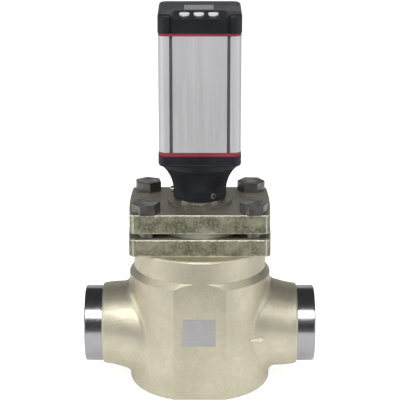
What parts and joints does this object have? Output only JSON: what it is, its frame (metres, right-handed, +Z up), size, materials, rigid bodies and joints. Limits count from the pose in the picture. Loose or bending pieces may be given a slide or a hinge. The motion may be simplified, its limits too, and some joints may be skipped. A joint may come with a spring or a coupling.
{
  "type": "motor-operated valve",
  "caption": "Straight-way refrigeration valve: cast body with butt-weld ends, bolted cover and a square stepper motor actuator on a magnetic coupling.",
  "frame": {"origin": "centre of the round underside of the valve body, on the spindle axis", "axes": "+Z up along the spindle, +X along the pipe in flow direction, -Y the front with the label plate"},
  "size_m": [0.23, 0.1313, 0.3803],
  "materials": {
    "valve_body": "zinc-yellow passivated satin casting",
    "top_cover": "brownish grey passivated casting",
    "cover_bolts": "dark grey steel",
    "cover_gasket": "pressed fibre",
    "insert_cage": "turned steel",
    "seat_ring": "turned stainless steel",
    "cage_upper_seal": "black rubber",
    "cage_foot_seal": "black rubber",
    "throttle_cone": "turned steel",
    "cone_seal": "white sealing plastic",
    "piston_rings": "filled sealing plastic",
    "spindle_nut": "bronze",
    "guide_pin": "ground steel",
    "spindle": "stainless steel",
    "thrust_washer": "bearing plastic",
    "spindle_bush": "bronze",
    "inner_magnet": "nickel plated",
    "outer_magnet": "nickel plated",
    "coupling_can": "turned stainless steel",
    "can_seal": "black rubber",
    "drive_cup": "turned aluminium",
    "motor_shaft": "ground steel",
    "motor_rotor": "laminated steel",
    "motor_bearings": "bearing steel",
    "motor_stator": "black laminated steel",
    "motor_lower_bell": "die-cast aluminium",
    "motor_upper_bell": "die-cast aluminium",
    "motor_bracket": "zinc plated sheet steel",
    "lower_housing": "fine grained black plastic",
    "set_screws": "bright steel",
    "base_screws": "stainless steel",
    "cap_screws": "blackened steel",
    "lower_gasket": "red rubber",
    "upper_gasket": "red rubber",
    "motor_housing": "fine brushed anodised extrusion",
    "top_cap": "fine grained dark grey plastic",
    "display_window": "smoked clear plastic",
    "display_module": "display",
    "control_board": "green solder resist",
    "driver_board": "green solder resist",
    "tact_switches": "black plastic",
    "board_spacers": "brass",
    "button_left": "white plastic",
    "button_middle": "white plastic",
    "button_right": "white plastic",
    "supply_connector": "nickel plated",
    "signal_connector": "nickel plated",
    "label_plate": "silver foil"
  },
  "bodies": {
    "valve": {"valve_body": "valve_body", "top_cover": "top_cover", "cover_bolts": "cover_bolts", "cover_gasket": "cover_gasket", "insert_cage": "insert_cage", "seat_ring": "seat_ring", "cage_upper_seal": "cage_upper_seal", "cage_foot_seal": "cage_foot_seal", "guide_pin": "guide_pin", "spindle_bush": "spindle_bush", "coupling_can": "coupling_can", "can_seal": "can_seal", "motor_bearings": "motor_bearings", "motor_stator": "motor_stator", "motor_lower_bell": "motor_lower_bell", "motor_upper_bell": "motor_upper_bell", "motor_bracket": "motor_bracket", "lower_housing": "lower_housing", "set_screws": "set_screws", "base_screws": "base_screws", "cap_screws": "cap_screws", "lower_gasket": "lower_gasket", "upper_gasket": "upper_gasket", "motor_housing": "motor_housing", "top_cap": "top_cap", "display_window": "display_window", "display_module": "display_module", "control_board": "control_board", "driver_board": "driver_board", "tact_switches": "tact_switches", "board_spacers": "board_spacers", "supply_connector": "supply_connector", "signal_connector": "signal_connector", "label_plate": "label_plate"},
    "rotor": {"motor_shaft": "motor_shaft", "motor_rotor": "motor_rotor", "drive_cup": "drive_cup", "outer_magnet": "outer_magnet"},
    "spindle_unit": {"spindle": "spindle", "inner_magnet": "inner_magnet", "thrust_washer": "thrust_washer"},
    "cone": {"throttle_cone": "throttle_cone", "cone_seal": "cone_seal", "spindle_nut": "spindle_nut", "piston_rings": "piston_rings"},
    "button_left_body": {"button_left": "button_left"},
    "button_middle_body": {"button_middle": "button_middle"},
    "button_right_body": {"button_right": "button_right"}
  },
  "joints": [
    {"name": "cone_lift", "type": "slide", "parent": "valve", "child": "cone", "axis": [0, 0, 1], "range_m": [0, 0.02]},
    {"name": "rotor_turn", "type": "hinge", "parent": "valve", "child": "rotor", "pos_m": [0, 0, 0.24], "axis": [0, 0, 1], "range_deg": [0, 1440]},
    {"name": "spindle_turn", "type": "hinge", "parent": "valve", "child": "spindle_unit", "pos_m": [0, 0, 0.15], "axis": [0, 0, 1], "range_deg": [0, 1440]},
    {"name": "press_left", "type": "slide", "parent": "valve", "child": "button_left_body", "axis": [0, 0, -1], "range_m": [0, 0.0008], "stiffness_N_per_m": 400},
    {"name": "press_middle", "type": "slide", "parent": "valve", "child": "button_middle_body", "axis": [0, 0, -1], "range_m": [0, 0.0008], "stiffness_N_per_m": 400},
    {"name": "press_right", "type": "slide", "parent": "valve", "child": "button_right_body", "axis": [0, 0, -1], "range_m": [0, 0.0008], "stiffness_N_per_m": 400}
  ],
  "couplings": [
    {"joint": "rotor_turn", "follows": "cone_lift", "rad_per_m": 1256.6},
    {"joint": "spindle_turn", "follows": "cone_lift", "rad_per_m": 1256.6}
  ]
}
